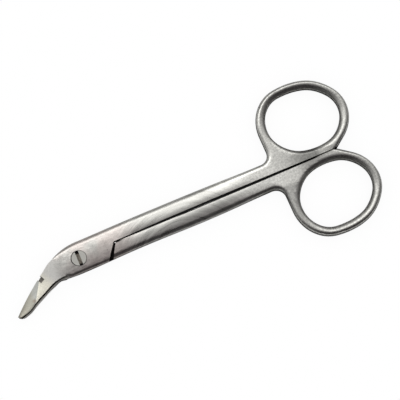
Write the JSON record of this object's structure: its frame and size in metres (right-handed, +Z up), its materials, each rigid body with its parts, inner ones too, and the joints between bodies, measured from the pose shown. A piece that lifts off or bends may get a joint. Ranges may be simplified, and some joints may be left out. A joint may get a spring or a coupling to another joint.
{
  "type": "suture scissors",
  "caption": "Angled wire-cutting suture scissors: two finger-ring halves crossing in a half lap on a slotted screw, with a serrated lower blade and a wire notch.",
  "frame": {"origin": "on the pivot screw's axis, in the plane on which the closed scissors lie", "axes": "+X along the shanks from the pivot to the finger rings, +Z up along the screw's axis, -Z into the surface that the scissors lie on"},
  "size_m": [0.12, 0.0508, 0.0034],
  "materials": {
    "satin_steel": "satin brushed",
    "screw_steel": "satin turned"
  },
  "bodies": {
    "lower": {"lower_half": "satin_steel", "pivot_screw": "screw_steel"},
    "upper": {"upper_half": "satin_steel"}
  },
  "joints": [
    {"name": "opening", "type": "hinge", "parent": "lower", "child": "upper", "pos_m": [0, 0, 0.0017], "axis": [0, 0, 1], "range_deg": [0, 120]}
  ]
}
